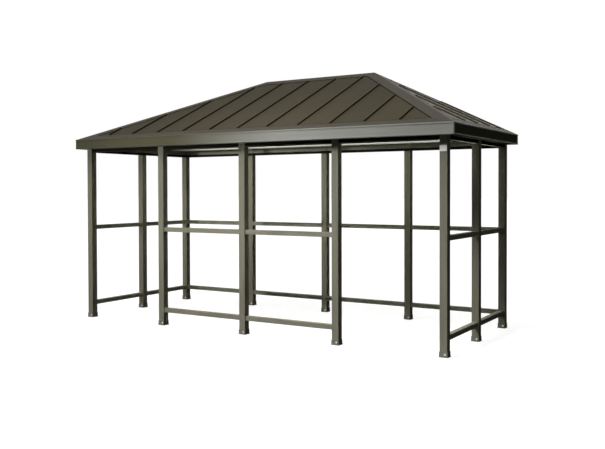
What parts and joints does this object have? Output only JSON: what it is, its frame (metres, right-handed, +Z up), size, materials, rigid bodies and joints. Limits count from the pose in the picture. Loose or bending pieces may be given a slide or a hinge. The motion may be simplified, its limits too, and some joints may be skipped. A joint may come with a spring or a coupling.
{
  "type": "bike shelter",
  "caption": "Open bike shelter: square-tube posts, low and mid rails, front entry bays, and a flat-lined hipped standing-seam metal roof that keeps parked bikes dry.",
  "frame": {"origin": "on the ground, under the middle of the roof's plan", "axes": "+X along the shelter to the right as seen from the entry side, +Y to the back, +Z up"},
  "size_m": [5.1568, 2.184, 3.16],
  "materials": {
    "frame_tube": "satin dark bronze",
    "fascia_sheet": "semi-gloss dark bronze",
    "roof_sheet": "matt dark bronze",
    "roof_trim": "satin dark bronze",
    "ceiling_lining": "semi-gloss pale lining",
    "shoe_metal": "weathered dark bronze"
  },
  "bodies": {
    "root": {"back_eave_trim": "roof_trim", "back_fascia": "fascia_sheet", "back_header": "frame_tube", "back_left_hip_cap": "roof_trim", "back_low_rails": "frame_tube", "back_mid_rails": "frame_tube", "back_post_1": "frame_tube", "back_post_2": "frame_tube", "back_post_3": "frame_tube", "back_post_4": "frame_tube", "back_post_5": "frame_tube", "back_right_hip_cap": "roof_trim", "back_roof_slope": "roof_sheet", "ceiling": "ceiling_lining", "front_eave_trim": "roof_trim", "front_fascia": "fascia_sheet", "front_header": "frame_tube", "front_left_hip_cap": "roof_trim", "front_low_rails": "frame_tube", "front_mid_rails": "frame_tube", "front_post_1": "frame_tube", "front_post_2": "frame_tube", "front_post_3": "frame_tube", "front_post_4": "frame_tube", "front_post_5": "frame_tube", "front_right_hip_cap": "roof_trim", "front_roof_slope": "roof_sheet", "left_eave_trim": "roof_trim", "left_fascia": "fascia_sheet", "left_header": "frame_tube", "left_low_rails": "frame_tube", "left_mid_rails": "frame_tube", "left_middle_post": "frame_tube", "left_roof_slope": "roof_sheet", "post_shoes": "shoe_metal", "ridge_cap": "roof_trim", "right_eave_trim": "roof_trim", "right_fascia": "fascia_sheet", "right_header": "frame_tube", "right_low_rails": "frame_tube", "right_mid_rails": "frame_tube", "right_middle_post": "frame_tube", "right_roof_slope": "roof_sheet"}
  },
  "joints": []
}
